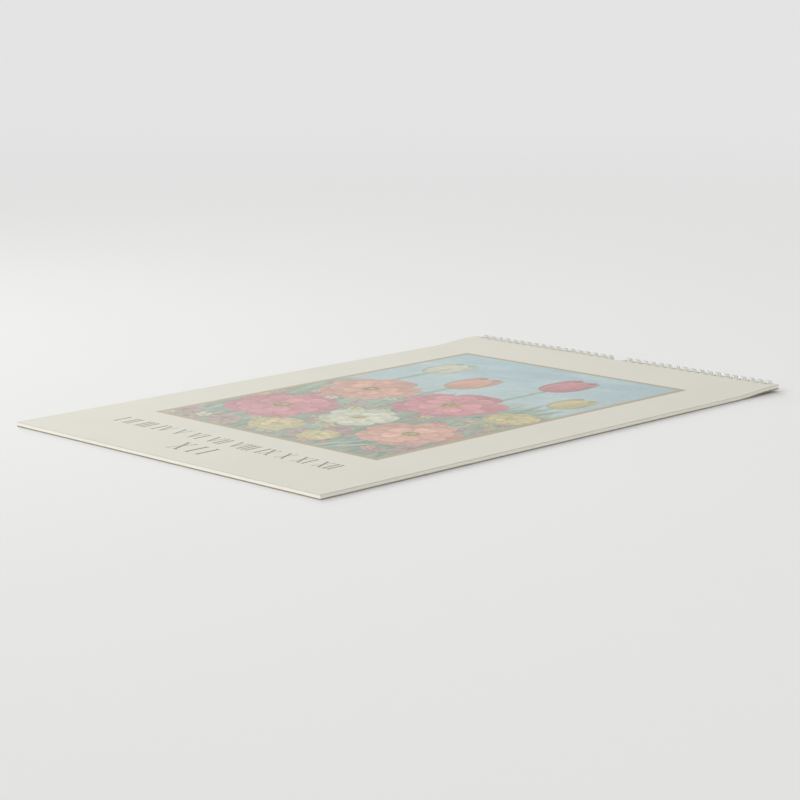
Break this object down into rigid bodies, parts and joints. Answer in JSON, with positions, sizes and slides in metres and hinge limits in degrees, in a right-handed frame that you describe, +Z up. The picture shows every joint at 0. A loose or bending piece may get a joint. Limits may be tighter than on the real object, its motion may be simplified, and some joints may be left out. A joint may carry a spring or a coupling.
{
  "type": "wall calendar",
  "caption": "Large wire-bound wall calendar with a stiff back board, page block, printed front cover and wire hanger; the cover and pages turn on the rings.",
  "frame": {"origin": "middle of the overall box, on the surface that the calendar lies on", "axes": "+Z up out of the front cover, +Y towards the bound edge and its hanger, X along the bound edge, to the right as the cover is read"},
  "size_m": [0.3302, 0.5176, 0.0079],
  "materials": {
    "greyboard": "matte",
    "page_paper": "matte",
    "cover_card": "matte, uncoated",
    "white_wire": "satin white nylon coat",
    "hanger_wire": "satin white",
    "ink_tan": "matte print",
    "ink_sky": "matte print",
    "ink_meadow": "matte print",
    "ink_leaf": "matte print",
    "ink_rose": "matte print",
    "ink_coral": "matte print",
    "ink_cream": "matte print",
    "ink_yellow": "matte print"
  },
  "bodies": {
    "board": {"back_board": "greyboard", "binding_wire_left": "white_wire", "binding_wire_right": "white_wire"},
    "pages": {"page_block": "page_paper"},
    "cover": {"front_cover": "cover_card", "print_frame_line": "ink_tan", "print_sky": "ink_sky", "print_meadow": "ink_meadow", "print_leaf": "ink_leaf", "print_rose": "ink_rose", "print_coral": "ink_coral", "print_cream": "ink_cream", "print_yellow": "ink_yellow"},
    "hanger": {"hanger": "hanger_wire"}
  },
  "joints": [
    {"name": "pages_turn", "type": "hinge", "parent": "board", "child": "pages", "pos_m": [0, 0.24928, 0.00395], "axis": [-1, 0, 0], "range_deg": [0, 180]},
    {"name": "cover_turn", "type": "hinge", "parent": "pages", "child": "cover", "pos_m": [0, 0.24928, 0.00395], "axis": [-1, 0, 0], "range_deg": [0, 180]},
    {"name": "hanger_swing", "type": "hinge", "parent": "board", "child": "hanger", "pos_m": [0, 0.24928, 0.00149], "axis": [1, 0, 0], "range_deg": [-168, 96]}
  ]
}
